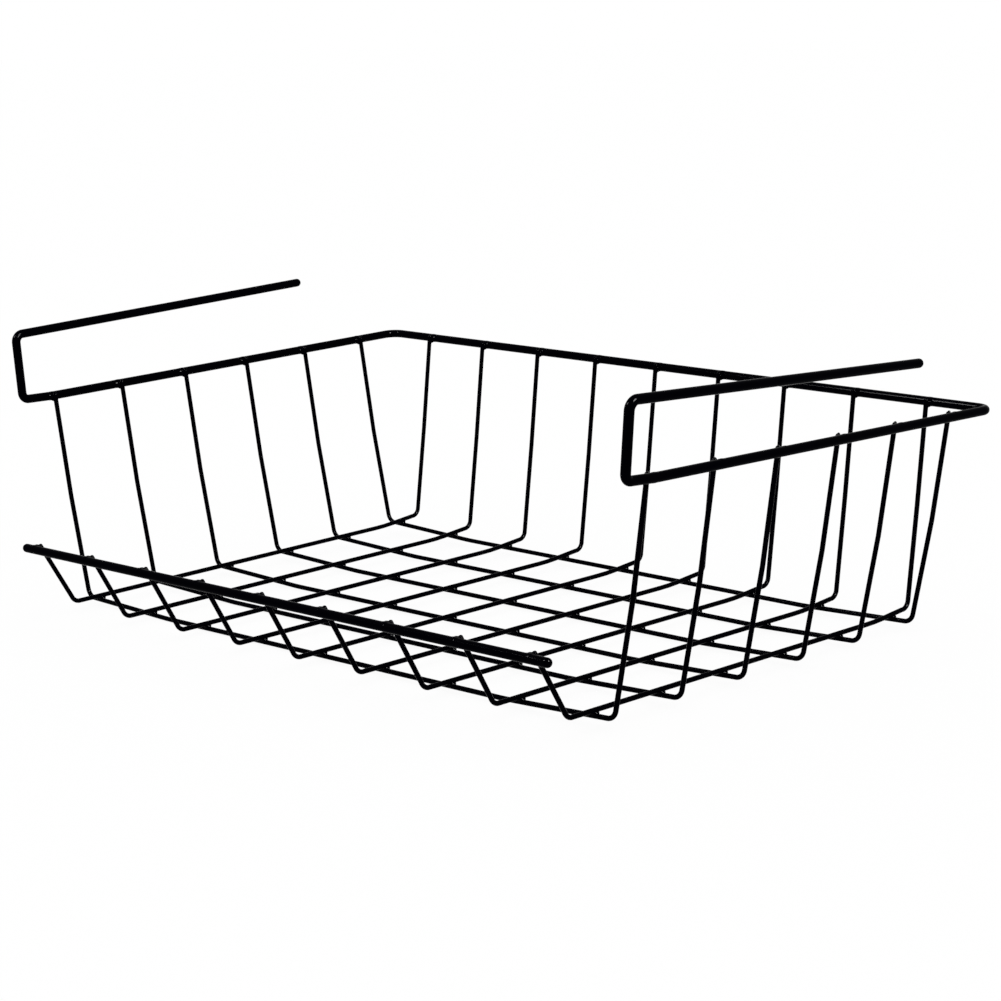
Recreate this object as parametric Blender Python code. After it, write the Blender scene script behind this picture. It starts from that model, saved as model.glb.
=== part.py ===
# Under shelf basket of welded, coated steel wire
# Metres, +Z up, front at -Y. The origin is on the surface the basket stands on,
# under the middle of its outline.

import math

import bpy
from mathutils import Quaternion, Vector

for old_object in list(bpy.data.objects):
    bpy.data.objects.remove(old_object, do_unlink=True)

# Wire
HEAVY_WIRE = 0.0043        # diameter of the frame wire and the front rail, with their coat
THIN_WIRE = 0.0023         # diameter of the cross wires and the long wires, with their coat
WELD_GAP = 0.0003          # left between two wires that are welded together
HEAVY_SIDES = 16
THIN_SIDES = 12
BEND_STEP = math.radians(15)
LEAST_BEND_STEPS = 2
HEAVY_DOME_STEPS = 3
THIN_DOME_STEPS = 2
DOME_CAP_ANGLE = math.radians(72)

# Frame wire: two hooks and the rim, bent from one length
RIM_WIDTH = 0.400          # between the centres of the side rims
RIM_DEPTH = 0.2556         # from the hook plane to the centre of the back rim
RIM_RISE = 0.1041          # mean height of the rim above the cross wires
HOOK_HEIGHT = 0.033        # between the centres of rim and prong
HOOK_LEAN = 0.003          # how far each prong lies outside its rim
PRONG_REACH = 0.1918       # from the hook plane to the end of a prong, on average
PRONG_UNEVEN = 0.0032      # how much further the right prong reaches, and the left one less
HOOK_FOOT_LIFT = 0.0007    # how far the front of each rim bends up towards its hook
HOOK_TOP_BEND = 0.0042
HOOK_FOOT_BEND = 0.0034
CORNER_BEND = 0.007
RIM_TWIST = 0.00275        # how far each corner of the rim lies off its mean plane
PRONG_SPREAD = 0.0045      # how far the left hook has opened and the right one closed
PRONG_DROP = 0.0006        # how far the prongs' ends hang below that, on both sides

# Floor: level in the middle, curling up towards the side walls and the back wall
FLOOR_TWIST = 0.0016       # the twist of the rim as the floor has it
SIDE_CURL = 0.063          # how far in from the foot of a side wall the floor starts to rise
SIDE_LIFT = 0.0022         # and how far it has risen there
BACK_CURL = 0.026
BACK_LIFT = 0.0022
CURL_BEND = 0.150

# Cross wires: side wall, floor and side wall, under the long wires
CROSS_COUNT = 6
CROSS_FRONT_INSET = 0.0167 # from the front corner of the floor to the first cross wire
CROSS_BACK_INSET = 0.0118  # from the back corner of the floor to the last cross wire
SIDE_INSET = 0.0228        # from the centre of a side rim in to the foot of its wall
SIDE_BEND = 0.005
SIDE_BULGE = 0.0012

# Long wires: back wall, floor and the slanted front that carries the rail
LONG_COUNT = 9
LONG_INSET = 0.0104        # from the foot of a side wall to the outer long wire
FLOOR_START = 0.0004       # from the hook plane to the front corner of the floor
BACK_INSET = 0.0175        # from the centre of the back rim in to the foot of its wall
FRONT_BEND = 0.0050
BACK_BEND = 0.0045
BACK_BULGE = 0.0004

# Wire ends
RIM_END_RISE = 0.0021      # how far a thin wire's end stands above the rim's centre
RAIL_END_RISE = 0.0001     # how far a thin wire's end stands past the rail's centre
BULGE_STEPS = 4

# Front rail
RAIL_OVERHANG = 0.0103     # how far each end stands past the outer long wire, on average
RAIL_SHIFT = 0.0017        # how far the rail sits to the right of the middle
RAIL_REACH = 0.0215        # how far the rail lies in front of the hook plane
RAIL_RISE = 0.0345         # height of the rail above the cross wires
RAIL_TWIST = 0.0010        # the twist of the rim as the rail has it

# Places that follow from the sizes
WELD_OFFSET = (HEAVY_WIRE + THIN_WIRE) / 2 + WELD_GAP
HOOK_PLANE = (RAIL_REACH - RIM_DEPTH) / 2
FLOOR_WIDTH = RIM_WIDTH - 2 * SIDE_INSET
FLOOR_END = RIM_DEPTH - BACK_INSET
SIDE_CURL_START = FLOOR_WIDTH / 2 - SIDE_CURL
BACK_CURL_START = FLOOR_END - BACK_CURL
CROSS_FIRST = FLOOR_START + CROSS_FRONT_INSET
CROSS_PITCH = (FLOOR_END - CROSS_BACK_INSET - CROSS_FIRST) / (CROSS_COUNT - 1)
LONG_SPAN = FLOOR_WIDTH - 2 * LONG_INSET
LONG_PITCH = LONG_SPAN / (LONG_COUNT - 1)
RAIL_LENGTH = LONG_SPAN + 2 * RAIL_OVERHANG


def twisted(twist, x, depth):
    # The basket is a little twisted: one pair of opposite corners is high, the other low
    across = x / (RIM_WIDTH / 2)
    along = 1 - 2 * depth / RIM_DEPTH
    return twist * across * along


def floor_rise(x, depth):
    # Height of a place on the floor over the floor's middle
    side_share = max(0, (abs(x) - SIDE_CURL_START) / SIDE_CURL)
    back_share = max(0, (depth - BACK_CURL_START) / BACK_CURL)
    lift = SIDE_LIFT * side_share + BACK_LIFT * back_share
    return lift + twisted(FLOOR_TWIST, x, depth)


# Heights, with the lowest place of the first cross wire on the surface below
CROSS_Z = THIN_WIRE / 2 - floor_rise(-SIDE_CURL_START, CROSS_FIRST)
LONG_Z = CROSS_Z + THIN_WIRE + WELD_GAP
RIM_Z = CROSS_Z + RIM_RISE
RAIL_Z = CROSS_Z + RAIL_RISE


def rim_height(x, depth):
    return RIM_Z + twisted(RIM_TWIST, x, depth)


def rail_height(x):
    return RAIL_Z + twisted(RAIL_TWIST, x, -RAIL_REACH)


def rounded(corners, bends):
    # A path through the corners, each inner corner turned to its bend radius
    path = [corners[0]]
    for before, corner, after, bend in zip(corners, corners[1:], corners[2:], bends):
        if bend == 0:
            path.append(corner)
            continue
        back = (before - corner).normalized()
        ahead = (after - corner).normalized()
        half = back.angle(ahead) / 2
        centre = corner + (back + ahead).normalized() * bend / math.sin(half)
        start = corner + back * bend / math.tan(half) - centre
        end = corner + ahead * bend / math.tan(half) - centre
        turn = start.rotation_difference(end)
        steps = max(LEAST_BEND_STEPS, round(turn.angle / BEND_STEP))
        for step in range(steps + 1):
            path.append(centre + Quaternion().slerp(turn, step / steps) @ start)
    path.append(corners[-1])
    return path


def bulged(start, end, outward, bulge):
    # Points from start to end on a shallow arch that leans outward in the middle
    points = []
    for step in range(BULGE_STEPS + 1):
        share = step / BULGE_STEPS
        arch = 4 * share * (1 - share) * bulge
        points.append(start.lerp(end, share) + outward * arch)
    return points


def domed(path, radius, steps):
    # Rings as (place, share of the radius), closing over both ends of the path
    inner = list(path)
    first = (inner[1] - inner[0]).normalized()
    last = (inner[-2] - inner[-1]).normalized()
    angles = [DOME_CAP_ANGLE * (1 - step / steps) for step in range(steps + 1)]
    start = [(path[0] + first * radius * (1 - math.sin(a)), math.cos(a)) for a in angles]
    end = [(path[-1] + last * radius * (1 - math.sin(a)), math.cos(a)) for a in angles]
    return start + [(place, 1.0) for place in inner[1:-1]] + end[::-1]


def add_wire(name, path, diameter, sides, dome_steps, location, material):
    # One bent wire: its flat sides touch the round from outside, and one faces straight down
    curve = bpy.data.curves.new(name, 'CURVE')
    curve.dimensions = '3D'
    curve.bevel_depth = diameter / 2 / math.cos(math.pi / sides)
    curve.bevel_resolution = (sides - 4) // 2
    curve.use_fill_caps = True
    rings = domed(path, diameter / 2, dome_steps)
    spline = curve.splines.new('POLY')
    spline.points.add(len(rings) - 1)
    for point, (place, share) in zip(spline.points, rings):
        point.co = (*place, 1)
        point.radius = share
        point.tilt = math.pi / sides
    curve.materials.append(material)
    wire = bpy.data.objects.new(name, curve)
    wire.location = location
    basket.objects.link(wire)
    return wire


def coating(name, colour, roughness):
    # Glossy plastic coat over the steel
    material = bpy.data.materials.new(name)
    material.use_nodes = True
    shader = material.node_tree.nodes['Principled BSDF']
    shader.inputs['Base Color'].default_value = (*colour, 1)
    shader.inputs['Roughness'].default_value = roughness
    shader.inputs['Metallic'].default_value = 0.0
    return material


basket = bpy.data.collections.new('under_shelf_basket')
bpy.context.scene.collection.children.link(basket)

frame_coat = coating('frame_coat', (0.012, 0.012, 0.013), 0.30)
rail_coat = coating('rail_coat', (0.012, 0.012, 0.013), 0.30)
cross_coat = coating('cross_wire_coat', (0.013, 0.013, 0.014), 0.34)
long_coat = coating('long_wire_coat', (0.013, 0.013, 0.014), 0.34)


def hook_corners(side):
    # From the end of a prong forward to the hook, down, and back along the side rim
    prong_x = side * (RIM_WIDTH / 2 + HOOK_LEAN)
    rim_x = side * RIM_WIDTH / 2
    reach = PRONG_REACH + side * PRONG_UNEVEN
    hook_top = rim_height(rim_x, 0) + HOOK_HEIGHT
    prong_end = rim_height(rim_x, reach) + HOOK_HEIGHT - side * PRONG_SPREAD - PRONG_DROP
    return [
        Vector((prong_x, reach, prong_end)),
        Vector((prong_x, 0, hook_top)),
        Vector((rim_x, 0, rim_height(rim_x, 0) + HOOK_FOOT_LIFT)),
        Vector((rim_x, CROSS_FIRST, rim_height(rim_x, CROSS_FIRST))),
        Vector((rim_x, RIM_DEPTH, rim_height(rim_x, RIM_DEPTH))),
    ]


frame_corners = hook_corners(-1) + hook_corners(1)[::-1]
hook_bends = [HOOK_TOP_BEND, HOOK_FOOT_BEND, CURL_BEND, CORNER_BEND]
add_wire('frame_wire', rounded(frame_corners, hook_bends + hook_bends[::-1]),
         HEAVY_WIRE, HEAVY_SIDES, HEAVY_DOME_STEPS, (0, HOOK_PLANE, 0), frame_coat)

# The cross wires end on the inner sides of the side rims
side_lean = math.atan2(SIDE_INSET - WELD_OFFSET, RIM_RISE - SIDE_LIFT)
rim_seat_x = RIM_WIDTH / 2 - WELD_OFFSET / math.cos(side_lean)

for number in range(CROSS_COUNT):
    depth = CROSS_FIRST + number * CROSS_PITCH
    halves = []
    for side in (-1, 1):
        foot_x = side * FLOOR_WIDTH / 2
        curl_x = side * SIDE_CURL_START
        top = Vector((side * rim_seat_x, 0, rim_height(side * RIM_WIDTH / 2, depth)))
        foot = Vector((foot_x, 0, CROSS_Z + floor_rise(foot_x, depth)))
        curl = Vector((curl_x, 0, CROSS_Z + floor_rise(curl_x, depth)))
        tip = top + (top - foot).normalized() * RIM_END_RISE
        wall = bulged(top, foot, Vector((side, 0, 0)), SIDE_BULGE)
        halves.append([tip] + wall + [curl])
    corners = halves[0] + halves[1][::-1]
    half_bends = [0] * BULGE_STEPS + [SIDE_BEND, CURL_BEND]
    add_wire('cross_wire_%d' % (number + 1), rounded(corners, half_bends + half_bends[::-1]),
             THIN_WIRE, THIN_SIDES, THIN_DOME_STEPS, (0, HOOK_PLANE + depth, 0), cross_coat)

# The long wires end on the front side of the back rim and on the inner side of the rail
back_lean = math.atan2(BACK_INSET - WELD_OFFSET, RIM_Z - LONG_Z - BACK_LIFT)
rim_seat_y = RIM_DEPTH - WELD_OFFSET / math.cos(back_lean)

for number in range(LONG_COUNT):
    x = number * LONG_PITCH - LONG_SPAN / 2
    top = Vector((0, rim_seat_y, rim_height(x, RIM_DEPTH)))
    back_foot = Vector((0, FLOOR_END, LONG_Z + floor_rise(x, FLOOR_END)))
    back_curl = Vector((0, BACK_CURL_START, LONG_Z + floor_rise(x, BACK_CURL_START)))
    front_foot = Vector((0, FLOOR_START, LONG_Z + floor_rise(x, FLOOR_START)))
    to_rail = Vector((0, -RAIL_REACH, rail_height(x))) - front_foot
    swing = math.asin(WELD_OFFSET / to_rail.length)
    slant = (Quaternion((1, 0, 0), -swing) @ to_rail).normalized()
    rail_seat = front_foot + slant * to_rail.length * math.cos(swing)
    rim_tip = top + (top - back_foot).normalized() * RIM_END_RISE
    wall = bulged(top, back_foot, Vector((0, 1, 0)), BACK_BULGE)
    corners = [rim_tip] + wall + [back_curl, front_foot, rail_seat + slant * RAIL_END_RISE]
    bends = [0] * BULGE_STEPS + [BACK_BEND, CURL_BEND, FRONT_BEND]
    add_wire('long_wire_%d' % (number + 1), rounded(corners, bends), THIN_WIRE,
             THIN_SIDES, THIN_DOME_STEPS, (x, HOOK_PLANE, 0), long_coat)

# The rail runs straight across the front, past the outer long wires
rail_ends = [Vector((RAIL_SHIFT + x, 0, rail_height(RAIL_SHIFT + x)))
             for x in (-RAIL_LENGTH / 2, RAIL_LENGTH / 2)]
add_wire('front_rail', rail_ends, HEAVY_WIRE, HEAVY_SIDES, HEAVY_DOME_STEPS,
         (0, HOOK_PLANE - RAIL_REACH, 0), rail_coat)
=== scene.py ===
import math

import bpy
from mathutils import Matrix, Quaternion, Vector


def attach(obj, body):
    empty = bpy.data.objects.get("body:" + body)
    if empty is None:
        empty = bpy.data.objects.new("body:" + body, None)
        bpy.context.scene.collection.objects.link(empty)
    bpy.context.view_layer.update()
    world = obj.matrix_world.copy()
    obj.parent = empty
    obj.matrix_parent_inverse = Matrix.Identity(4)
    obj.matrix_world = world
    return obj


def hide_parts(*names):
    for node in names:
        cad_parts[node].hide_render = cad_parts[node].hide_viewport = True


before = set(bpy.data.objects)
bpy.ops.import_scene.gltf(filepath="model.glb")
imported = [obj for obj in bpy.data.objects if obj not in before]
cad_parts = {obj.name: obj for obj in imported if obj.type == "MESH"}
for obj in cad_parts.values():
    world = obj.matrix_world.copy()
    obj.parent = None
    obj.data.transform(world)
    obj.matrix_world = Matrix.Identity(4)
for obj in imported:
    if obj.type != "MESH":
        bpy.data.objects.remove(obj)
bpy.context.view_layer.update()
print("frame loaded:", len(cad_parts), "wires")


# Camera, set to the photograph's viewing angle
cameraView = {"place": (0.81526, -0.81535, 0.29265), "azimuth": 44.3676, "elevation": 11.5124,
              "roll": -1.4417, "lens": 87.906, "nearest": 0.01, "farthest": 60}

bpy.ops.object.camera_add(location=cameraView["place"])
camera = bpy.context.object
camera.name = "photo_camera"
camera.data.lens = cameraView["lens"]
camera.data.clip_start = cameraView["nearest"]
camera.data.clip_end = cameraView["farthest"]
turned = (Matrix.Rotation(math.radians(cameraView["azimuth"]), 4, "Z")
          @ Matrix.Rotation(math.radians(90 - cameraView["elevation"]), 4, "X")
          @ Matrix.Rotation(math.radians(cameraView["roll"]), 4, "Z"))
camera.rotation_euler = turned.to_euler()
bpy.context.scene.camera = camera
bpy.context.scene.view_settings.view_transform = "Standard"
print("camera set")


# Shader sums: a wrapped socket can be added and multiplied like a number
class ShaderValue:
    def __init__(self, tree, socket):
        self.tree = tree
        self.socket = socket

    def combine(self, operation, first, second):
        node = self.tree.nodes.new("ShaderNodeMath")
        node.operation = operation
        for place, value in zip(node.inputs, (first, second)):
            if isinstance(value, ShaderValue):
                self.tree.links.new(value.socket, place)
            else:
                place.default_value = value
        return ShaderValue(self.tree, node.outputs[0])

    def __add__(self, other):
        return self.combine("ADD", self, other)

    def __radd__(self, other):
        return self.combine("ADD", other, self)

    def __mul__(self, other):
        return self.combine("MULTIPLY", self, other)

    def __rmul__(self, other):
        return self.combine("MULTIPLY", other, self)

    def atLeast(self, other):
        return self.combine("MAXIMUM", self, other)


class ShaderBench:
    # Adds nodes to one material or world and hands back their outputs as ShaderValues
    def __init__(self, owner):
        owner.use_nodes = True
        self.tree = owner.node_tree
        self.tree.nodes.clear()

    def node(self, kind, settings=None, values=None):
        made = self.tree.nodes.new(kind)
        for name, value in (settings or {}).items():
            setattr(made, name, value)
        for name, value in (values or {}).items():
            if isinstance(value, ShaderValue):
                self.tree.links.new(value.socket, made.inputs[name])
            else:
                made.inputs[name].default_value = value
        return made

    def out(self, node, name):
        return ShaderValue(self.tree, node.outputs[name])

    def get(self, kind, output, settings=None, values=None):
        return self.out(self.node(kind, settings, values), output)


# Gloss black coat over the steel: fine orange peel, a little uneven in gloss, with a blue tint in
# its colour that is a painted reflection
coatLook = {"deep": (0.0001, 0.0001, 0.0004, 1), "bluishPaintedReflection": (0.0003, 0.0002, 0.0016, 1),
            "cloudScale": 60, "cloudDetail": 3,
            "glossLow": 0.08, "glossHigh": 0.17, "glossScale": 420, "glossDetail": 4,
            "peelScale": 2600, "peelDetail": 3, "peelHeight": 0.00003, "peelStrength": 0.15,
            "lumpScale": 520, "lumpDetail": 2, "lumpHeight": 0.00006, "lumpStrength": 0.3,
            "specular": 0.003}
coatSeeds = {"frame_coat": 1.7, "rail_coat": 4.1, "cross_wire_coat": 7.9, "long_wire_coat": 11.3}
# A Mix node's colour sockets share their names with its other sockets, so they go by place
colourMix = {"share": 0, "first": 6, "second": 7, "result": 2}


def coatMaterial(name, seed):
    material = bpy.data.materials.new(name)
    bench = ShaderBench(material)
    place = bench.get("ShaderNodeTexCoord", "Object")
    moved = bench.get("ShaderNodeMapping", "Vector",
                      values={"Vector": place, "Location": (seed, seed / 2, -seed)})

    def noise(kind):
        return bench.get("ShaderNodeTexNoise", 0,
                         values={"Vector": moved, "Scale": coatLook[kind + "Scale"],
                                 "Detail": coatLook[kind + "Detail"]})

    def bump(kind, **under):
        return bench.get("ShaderNodeBump", "Normal",
                         values={"Strength": coatLook[kind + "Strength"],
                                 "Distance": coatLook[kind + "Height"],
                                 "Height": noise(kind), **under})

    # The base colour drifts at random between near black and a blue tint: the random drift is the
    # coat's own tone, the blue tint is a painted reflection
    tint = bench.get("ShaderNodeMix", colourMix["result"], {"data_type": "RGBA"},
                     {colourMix["share"]: noise("cloud"), colourMix["first"]: coatLook["deep"],
                      colourMix["second"]: coatLook["bluishPaintedReflection"]})
    gloss = coatLook["glossLow"] + noise("gloss") * (coatLook["glossHigh"] - coatLook["glossLow"])
    shader = bench.get("ShaderNodeBsdfPrincipled", "BSDF",
                       values={"Base Color": tint, "Roughness": gloss,
                               "Normal": bump("peel", Normal=bump("lump")),
                               "Specular IOR Level": coatLook["specular"]})
    bench.node("ShaderNodeOutputMaterial", values={"Surface": shader})
    return material


coats = {slot: coatMaterial(slot, seed) for slot, seed in coatSeeds.items()}
print("coat materials made:", len(coats))


# Sizes of the basket, the same as the solids have, in metres
wireSizes = {"heavy": 0.0043, "thin": 0.0023, "weldGap": 0.0003}
rimSizes = {"width": 0.400, "depth": 0.2556, "rise": 0.1041, "twist": 0.00275, "corner": 0.007}
hookSizes = {"height": 0.033, "lean": 0.003, "reach": 0.1918, "uneven": 0.0032,
             "footLift": 0.0007, "topBend": 0.0042, "footBend": 0.0034, "spread": 0.0045,
             "drop": 0.0006}
floorSizes = {"twist": 0.0016, "sideCurl": 0.063, "sideLift": 0.0022, "backCurl": 0.026,
              "backLift": 0.0022, "curlBend": 0.150}
crossSizes = {"count": 6, "frontInset": 0.0167, "backInset": 0.0118, "sideInset": 0.0228,
              "bend": 0.005, "bulge": 0.0012}
longSizes = {"count": 9, "inset": 0.0104, "floorStart": 0.0004, "backInset": 0.0175,
             "frontBend": 0.0050, "backBend": 0.0045, "bulge": 0.0004}
railSizes = {"overhang": 0.0103, "shift": 0.0017, "reach": 0.0215, "rise": 0.0345,
             "twist": 0.0010}
endRises = {"rim": 0.0021, "rail": 0.0001}

weldOffset = (wireSizes["heavy"] + wireSizes["thin"]) / 2 + wireSizes["weldGap"]
halfRim = rimSizes["width"] / 2
hookPlane = (railSizes["reach"] - rimSizes["depth"]) / 2
halfFloor = halfRim - crossSizes["sideInset"]
floorEnd = rimSizes["depth"] - longSizes["backInset"]
sideCurlStart = halfFloor - floorSizes["sideCurl"]
backCurlStart = floorEnd - floorSizes["backCurl"]
firstCross = longSizes["floorStart"] + crossSizes["frontInset"]
crossPitch = (floorEnd - crossSizes["backInset"] - firstCross) / (crossSizes["count"] - 1)
halfSpan = halfFloor - longSizes["inset"]
longPitch = 2 * halfSpan / (longSizes["count"] - 1)
halfRail = halfSpan + railSizes["overhang"]


def twisted(twist, x, depth):
    return twist * x / halfRim * (1 - 2 * depth / rimSizes["depth"])


def floorRise(x, depth):
    sideShare = max(0, (abs(x) - sideCurlStart) / floorSizes["sideCurl"])
    backShare = max(0, (depth - backCurlStart) / floorSizes["backCurl"])
    lift = floorSizes["sideLift"] * sideShare + floorSizes["backLift"] * backShare
    return lift + twisted(floorSizes["twist"], x, depth)


crossHeight = wireSizes["thin"] / 2 - floorRise(-sideCurlStart, firstCross)
longHeight = crossHeight + wireSizes["thin"] + wireSizes["weldGap"]


def rimHeight(x, depth):
    return crossHeight + rimSizes["rise"] + twisted(rimSizes["twist"], x, depth)


def railHeight(x):
    return crossHeight + railSizes["rise"] + twisted(railSizes["twist"], x, -railSizes["reach"])


# A wire is bent as by hand: a ring is drawn out of its domed end, run straight and spun
bending = {"heavySides": 32, "thinSides": 20, "domeSteps": 6, "lastRing": 80, "stepAngle": 6,
           "fewestSteps": 2, "holdShare": 0.35, "longestHoldShare": 0.25, "closedScale": 0.01,
           "wallBendShare": 0.94, "smoothAngle": 40}


def drawRing(name, place, direction, radius, sides):
    bpy.ops.object.select_all(action="DESELECT")
    turn = direction.to_track_quat("Z", "Y").to_euler()
    bpy.ops.mesh.primitive_circle_add(vertices=sides, radius=radius, fill_type="NOTHING",
                                      location=place, rotation=turn)
    wire = bpy.context.object
    wire.name = name
    bpy.ops.object.mode_set(mode="EDIT")
    bpy.ops.mesh.select_mode(type="VERT")
    bpy.ops.mesh.select_all(action="SELECT")
    return wire


def pushEnd(move, place=None, scale=1):
    bpy.ops.mesh.extrude_region_move(TRANSFORM_OT_translate={"value": move})
    if scale != 1:
        bpy.ops.transform.resize(value=(scale, scale, scale), center_override=place)


def runStraight(length, direction, radius):
    # The short runs at both ends keep the soft shading of the bends off the long one
    hold = min(radius * bending["holdShare"], length * bending["longestHoldShare"])
    for part in (hold, length - 2 * hold, hold):
        pushEnd(direction * part)


def closeEnd(place, tip):
    pushEnd(tip - place, tip, bending["closedScale"])
    bpy.ops.mesh.merge(type="CENTER")


def bendWire(name, corners, bends, diameter, sides, slot, node):
    radius = diameter / 2
    heading = (corners[1] - corners[0]).normalized()
    angles = [math.radians(bending["lastRing"]) * (1 - step / bending["domeSteps"])
              for step in range(bending["domeSteps"] + 1)]
    firstRing = corners[0] + heading * radius * (1 - math.sin(angles[0]))
    wire = drawRing(name, firstRing, heading, radius * math.cos(angles[0]), sides)
    place = firstRing
    for before, angle in zip(angles, angles[1:]):
        move = heading * radius * (math.sin(before) - math.sin(angle))
        place = place + move
        pushEnd(move, place, math.cos(angle) / math.cos(before))
    place = corners[0] + heading * radius
    for corner, after, bend in zip(corners[1:], corners[2:], bends):
        ahead = (after - corner).normalized()
        turn = heading.angle(ahead)
        reach = bend * math.tan(turn / 2)
        runStraight((corner - heading * reach - place).length, heading, radius)
        inward = (ahead - heading * heading.dot(ahead)).normalized()
        centre = corner - heading * reach + inward * bend
        steps = max(bending["fewestSteps"], round(math.degrees(turn) / bending["stepAngle"]))
        bpy.ops.mesh.spin(steps=steps, angle=turn, center=centre, axis=ahead.cross(heading))
        place = corner + ahead * reach
        heading = ahead
    lastEquator = corners[-1] - heading * radius
    runStraight((lastEquator - place).length, heading, radius)
    place = lastEquator
    for before, angle in zip(angles[::-1], angles[-2::-1]):
        move = heading * radius * (math.sin(angle) - math.sin(before))
        place = place + move
        pushEnd(move, place, math.cos(angle) / math.cos(before))
    closeEnd(place, corners[-1])
    bpy.ops.mesh.select_all(action="DESELECT")
    bpy.ops.mesh.select_non_manifold()
    closeEnd(firstRing, corners[0])
    bpy.ops.mesh.select_all(action="SELECT")
    bpy.ops.mesh.normals_make_consistent(inside=False)
    bpy.ops.object.mode_set(mode="OBJECT")
    bpy.ops.object.transform_apply(location=True, rotation=True, scale=True)
    bpy.ops.object.shade_smooth_by_angle(angle=math.radians(bending["smoothAngle"]))
    wire.data.materials.append(coats[slot])
    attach(wire, "root")
    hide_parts(node)


def shifted(points, place):
    return [point + Vector(place) for point in points]


def wallPeak(top, foot, outward, bulge):
    # The corner of a wall that is bent outward all along, and the radius of that bend
    peak = (top + foot) / 2 + outward * 2 * bulge
    halfTurn = (peak - top).angle(foot - peak) / 2
    shorter = min((peak - top).length, (foot - peak).length)
    return peak, bending["wallBendShare"] * shorter / math.tan(halfTurn)


# Where two wires are welded: a point on the carrying wire's axis, that wire's direction and
# the way to the other wire
joints = {"floor": [], "sideRims": [], "backRim": [], "rail": []}


def joinEnd(kind, place, along, onAxis, toTip):
    nearest = onAxis + toTip * (place - onAxis).dot(toTip)
    toward = nearest - place
    if toward.cross(along).dot(toTip) < 0:
        along = -along
    joints[kind].append((place, along.normalized(), toward.normalized()))


# Frame wire
def hookCorners(side):
    prongX, rimX = side * (halfRim + hookSizes["lean"]), side * halfRim
    reach = hookSizes["reach"] + side * hookSizes["uneven"]
    prongEnd = (rimHeight(rimX, reach) + hookSizes["height"] - side * hookSizes["spread"]
                - hookSizes["drop"])
    return [Vector((prongX, reach, prongEnd)),
            Vector((prongX, 0, rimHeight(rimX, 0) + hookSizes["height"])),
            Vector((rimX, 0, rimHeight(rimX, 0) + hookSizes["footLift"])),
            Vector((rimX, firstCross, rimHeight(rimX, firstCross))),
            Vector((rimX, rimSizes["depth"], rimHeight(rimX, rimSizes["depth"])))]


frameCorners = shifted(hookCorners(-1) + hookCorners(1)[::-1], (0, hookPlane, 0))
hookBends = [hookSizes["topBend"], hookSizes["footBend"], floorSizes["curlBend"],
             rimSizes["corner"]]
bendWire("coated_frame_wire", frameCorners, hookBends + hookBends[::-1], wireSizes["heavy"],
         bending["heavySides"], "frame_coat", "frame_wire")
print("frame wire bent")

# Front rail
railEnds = [Vector((x, hookPlane - railSizes["reach"], railHeight(x)))
            for x in (railSizes["shift"] - halfRail, railSizes["shift"] + halfRail)]
bendWire("coated_front_rail", railEnds, [], wireSizes["heavy"], bending["heavySides"],
         "rail_coat", "front_rail")

# Cross wires
sideLean = math.atan2(crossSizes["sideInset"] - weldOffset,
                      rimSizes["rise"] - floorSizes["sideLift"])
seatX = halfRim - weldOffset / math.cos(sideLean)

for number in range(crossSizes["count"]):
    depth = firstCross + number * crossPitch
    lift = Vector((0, hookPlane + depth, 0))
    halves, bends = [], []
    for side in (-1, 1):
        rimX, footX, curlX = side * halfRim, side * halfFloor, side * sideCurlStart
        top = Vector((side * seatX, 0, rimHeight(rimX, depth)))
        foot = Vector((footX, 0, crossHeight + floorRise(footX, depth)))
        curl = Vector((curlX, 0, crossHeight + floorRise(curlX, depth)))
        peak, peakBend = wallPeak(top, foot, Vector((side, 0, 0)), crossSizes["bulge"])
        toTip = (top - peak).normalized()
        tip = top + toTip * endRises["rim"]
        rimCentre = Vector((rimX, 0, rimHeight(rimX, depth)))
        rimSlope = rimHeight(rimX, depth + 1) - rimHeight(rimX, depth)
        joinEnd("sideRims", rimCentre + lift, Vector((0, 1, rimSlope)), top + lift, toTip)
        halves.append([tip, peak, foot, curl])
        bends.append([peakBend, crossSizes["bend"], floorSizes["curlBend"]])
    bendWire("coated_cross_wire_%d" % (number + 1), shifted(halves[0] + halves[1][::-1], lift),
             bends[0] + bends[1][::-1], wireSizes["thin"], bending["thinSides"],
             "cross_wire_coat", "cross_wire_%d" % (number + 1))
print("rail and cross wires bent")

# Long wires
backLean = math.atan2(longSizes["backInset"] - weldOffset,
                      rimSizes["rise"] + crossHeight - longHeight - floorSizes["backLift"])
seatY = rimSizes["depth"] - weldOffset / math.cos(backLean)

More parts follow.
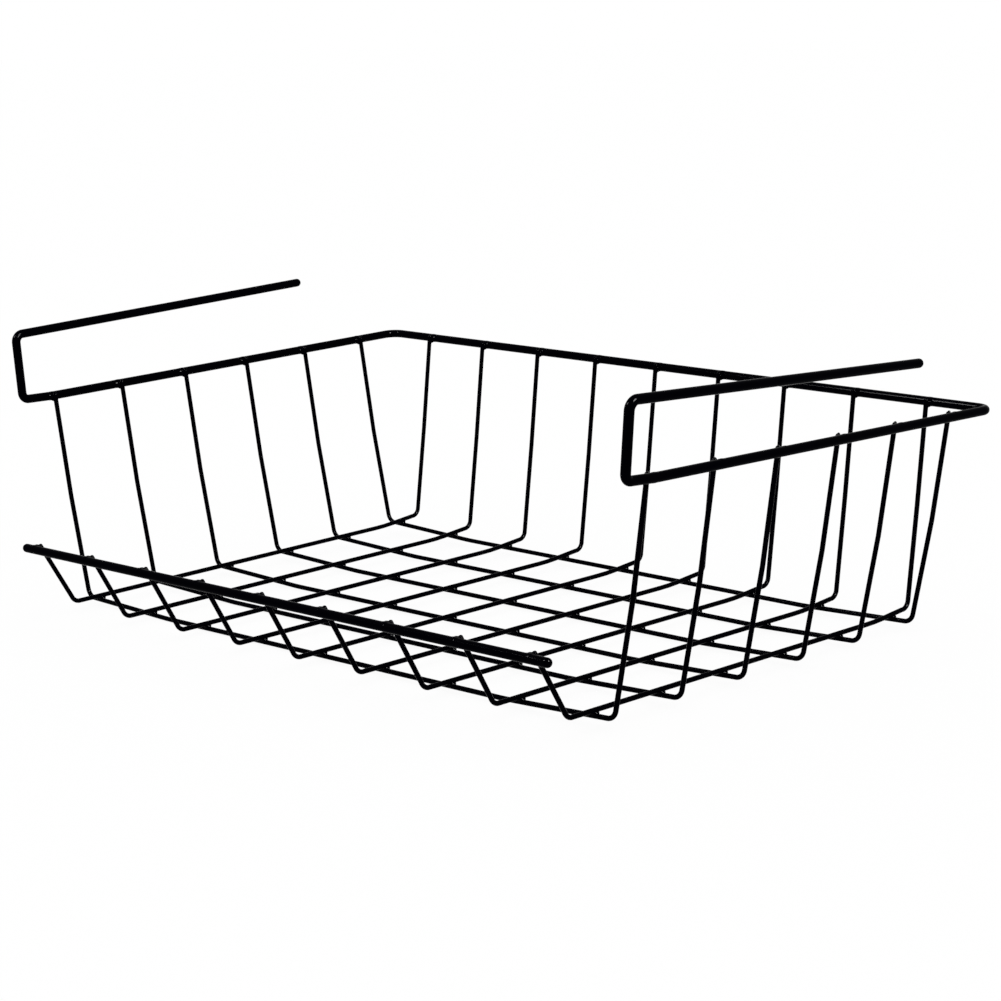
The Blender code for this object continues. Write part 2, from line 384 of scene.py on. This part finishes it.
for number in range(longSizes["count"]):
    x = number * longPitch - halfSpan
    lift = Vector((x, hookPlane, 0))
    top = Vector((0, seatY, rimHeight(x, rimSizes["depth"])))
    backFoot, backCurl, frontFoot = [
        Vector((0, depth, longHeight + floorRise(x, depth)))
        for depth in (floorEnd, backCurlStart, longSizes["floorStart"])]
    toRail = Vector((0, -railSizes["reach"], railHeight(x))) - frontFoot
    swing = math.asin(weldOffset / toRail.length)
    slant = (Quaternion((1, 0, 0), -swing) @ toRail).normalized()
    railSeat = frontFoot + slant * toRail.length * math.cos(swing)
    peak, peakBend = wallPeak(top, backFoot, Vector((0, 1, 0)), longSizes["bulge"])
    toTip = (top - peak).normalized()
    rimTip = top + toTip * endRises["rim"]
    rimCentre = Vector((0, rimSizes["depth"], rimHeight(x, rimSizes["depth"])))
    rimSlope = rimHeight(x + 1, rimSizes["depth"]) - rimHeight(x, rimSizes["depth"])
    joinEnd("backRim", rimCentre + lift, Vector((1, 0, rimSlope)), top + lift, toTip)
    railCentre = Vector((0, -railSizes["reach"], railHeight(x)))
    railSlope = railHeight(x + 1) - railHeight(x)
    joinEnd("rail", railCentre + lift, Vector((1, 0, railSlope)), railSeat + lift, slant)
    corners = [rimTip, peak, backFoot, backCurl, frontFoot, railSeat + slant * endRises["rail"]]
    bends = [peakBend, longSizes["backBend"], floorSizes["curlBend"], longSizes["frontBend"]]
    bendWire("coated_long_wire_%d" % (number + 1), shifted(corners, lift), bends,
             wireSizes["thin"], bending["thinSides"], "long_wire_coat",
             "long_wire_%d" % (number + 1))
print("long wires bent")

# Crossings on the floor
step = wireSizes["thin"]
for crossNumber in range(crossSizes["count"]):
    for longNumber in range(longSizes["count"]):
        x = longNumber * longPitch - halfSpan
        depth = firstCross + crossNumber * crossPitch
        acrossRise = floorRise(x + step, depth) - floorRise(x - step, depth)
        alongRise = floorRise(x, depth + step) - floorRise(x, depth - step)
        across = Vector((2 * step, 0, acrossRise)).normalized()
        upward = across.cross(Vector((0, 2 * step, alongRise))).normalized()
        place = Vector((x, hookPlane + depth, crossHeight + floorRise(x, depth)))
        joints["floor"].append((place, across, upward))

# Welds: the coat fills each joint with a small fillet. One bead of each kind is modelled ten
# times too large, from a barrel round each wire and a lump between them, and then copied
weldSizes = {"swell": 0.00012, "thinReach": 0.0034, "heavyReach": 0.0050, "tipSetback": 0.0007,
             "floorLump": (0.0018, 0.0018, 0.0008), "rimLump": (0.0022, 0.0019, 0.0010),
             "rimDrop": 0.0009, "railLump": (0.0030, 0.0018, 0.0012), "railDrop": 0.0004,
             "segments": 48, "rings": 24, "barrelShift": 1.5, "voxel": 0.00011,
             "smoothing": 24, "smoothShare": 0.5, "keep": 0.10}
modelScale = 10


def weldBead(name, lumps):
    bpy.ops.object.select_all(action="DESELECT")
    for number, (place, reach) in enumerate(lumps):
        place = Vector(place) * modelScale
        bpy.ops.mesh.primitive_uv_sphere_add(
            segments=weldSizes["segments"], ring_count=weldSizes["rings"], radius=1,
            location=place)
        if number == 0:
            bead = bpy.context.object
            bpy.ops.object.mode_set(mode="EDIT")
        bpy.ops.transform.resize(value=Vector(reach) * modelScale, center_override=place)
        bpy.ops.mesh.select_all(action="DESELECT")
    bpy.ops.object.mode_set(mode="OBJECT")
    bead.name = name
    bpy.ops.object.transform_apply(location=True, rotation=True, scale=True)
    steps = (("REMESH", {"mode": "VOXEL", "voxel_size": weldSizes["voxel"] * modelScale}),
             ("SMOOTH", {"factor": weldSizes["smoothShare"],
                         "iterations": weldSizes["smoothing"]}),
             ("DECIMATE", {"ratio": weldSizes["keep"]}))
    for kind, settings in steps:
        modifier = bead.modifiers.new(kind.lower(), kind)
        for setting, value in settings.items():
            setattr(modifier, setting, value)
        bpy.ops.object.modifier_apply(modifier=modifier.name)
    bpy.ops.transform.resize(value=[1 / modelScale] * 3, center_override=(0, 0, 0))
    bpy.ops.object.transform_apply(location=True, rotation=True, scale=True)
    bpy.ops.object.shade_smooth()
    return bead


def layWelds(name, bead, places, slot):
    copies = []
    for place, along, toward in places:
        bpy.ops.object.select_all(action="DESELECT")
        bead.select_set(True)
        bpy.context.view_layer.objects.active = bead
        bpy.ops.object.duplicate(linked=False)
        copy = bpy.context.object
        side = toward.cross(along).normalized()
        turn = Matrix((along, side, along.cross(side))).transposed().to_4x4()
        copy.matrix_world = Matrix.Translation(place) @ turn
        copies.append(copy)
    bpy.ops.object.select_all(action="DESELECT")
    for copy in copies:
        copy.select_set(True)
    bpy.context.view_layer.objects.active = copies[0]
    bpy.ops.object.join()
    welds = bpy.context.object
    welds.name = name
    bpy.ops.object.transform_apply(location=True, rotation=True, scale=True)
    welds.data.materials.append(coats[slot])
    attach(welds, "root")
    bpy.data.objects.remove(bead, do_unlink=True)
    print(name, len(places), "beads,", len(welds.data.polygons), "faces")


thinRadius, heavyRadius = wireSizes["thin"] / 2, wireSizes["heavy"] / 2
swell = weldSizes["swell"]
thinBarrel = (thinRadius + swell, weldSizes["thinReach"], thinRadius + swell)
crossBarrel = (weldSizes["thinReach"], thinRadius + swell, thinRadius + swell)
heavyBarrel = (weldSizes["heavyReach"], heavyRadius + swell, heavyRadius + swell)
layers = wireSizes["thin"] + wireSizes["weldGap"]


def endBead(name, tip, lump, drop):
    barrelPlace = tip - weldSizes["tipSetback"] - weldSizes["thinReach"]
    return weldBead(name, [((0, 0, weldSizes["barrelShift"] * swell), heavyBarrel),
                           ((0, barrelPlace, weldOffset - swell), thinBarrel),
                           ((0, -drop, heavyRadius), lump)])


floorBead = weldBead("floor_bead", [((0, 0, swell), crossBarrel),
                                    ((0, 0, layers - swell), thinBarrel),
                                    ((0, 0, layers / 2), weldSizes["floorLump"])])
layWelds("floor_welds", floorBead, joints["floor"], "long_wire_coat")

sideTip = weldOffset * math.tan(sideLean) + endRises["rim"]
sideBead = endBead("side_bead", sideTip, weldSizes["rimLump"], weldSizes["rimDrop"])
layWelds("side_rim_welds", sideBead, joints["sideRims"], "frame_coat")

backTip = weldOffset * math.tan(backLean) + endRises["rim"]
backBead = endBead("back_bead", backTip, weldSizes["rimLump"], weldSizes["rimDrop"])
layWelds("back_rim_welds", backBead, joints["backRim"], "frame_coat")

railBead = endBead("rail_bead", endRises["rail"], weldSizes["railLump"], weldSizes["railDrop"])
layWelds("rail_welds", railBead, joints["rail"], "rail_coat")


# Plain pale floor, white to the camera and to reflections, with a faint soft shadow
studio = {"floorSize": 24, "floorColour": (0.98, 0.98, 0.98, 1), "white": (1, 1, 1, 1),
          "brightness": 1, "shadowShare": 0.08}
white = {"Color": studio["white"], "Strength": studio["brightness"]}

bpy.ops.object.select_all(action="DESELECT")
bpy.ops.mesh.primitive_plane_add(size=studio["floorSize"])
floor = bpy.context.object
floor.name = "studio_floor"
floorPaint = bpy.data.materials.new("studio_floor_paint")
bench = ShaderBench(floorPaint)
matte = bench.get("ShaderNodeBsdfDiffuse", "BSDF", values={"Color": studio["floorColour"]})
glow = bench.get("ShaderNodeEmission", "Emission", values=white)
rays = bench.node("ShaderNodeLightPath")
seenDirectly = bench.out(rays, "Is Camera Ray").atLeast(bench.out(rays, "Is Glossy Ray")).atLeast(
    bench.out(rays, "Is Transmission Ray"))
shade = seenDirectly * (1 - studio["shadowShare"])
mixed = bench.get("ShaderNodeMixShader", "Shader", values={0: shade, 1: matte, 2: glow})
bench.node("ShaderNodeOutputMaterial", values={"Surface": mixed})
floor.data.materials.append(floorPaint)

world = bpy.data.worlds.new("studio_world")
bpy.context.scene.world = world
bench = ShaderBench(world)
air = bench.get("ShaderNodeBackground", "Background", values=white)
bench.node("ShaderNodeOutputWorld", values={"Surface": air})

# Two soft boxes that show only as glints in the gloss, so that the colours stay as written
softBoxes = {"key": {"place": (1.43, 0.06, 1.30), "size": 0.60, "power": 1000},
             "side": {"place": (-0.85, -1.15, 1.30), "size": 0.40, "power": 220}}
boxAim = Vector((0, 0, 0.06))

for name, box in softBoxes.items():
    bpy.ops.object.light_add(type="AREA", location=box["place"])
    light = bpy.context.object
    light.name = name + "_soft_box"
    light.data.size = box["size"]
    light.data.energy = box["power"]
    light.rotation_euler = (Vector(box["place"]) - boxAim).to_track_quat("Z", "Y").to_euler()
    light.visible_camera = False
    light.visible_diffuse = False
print("floor, world and soft boxes set")

print("finishing")
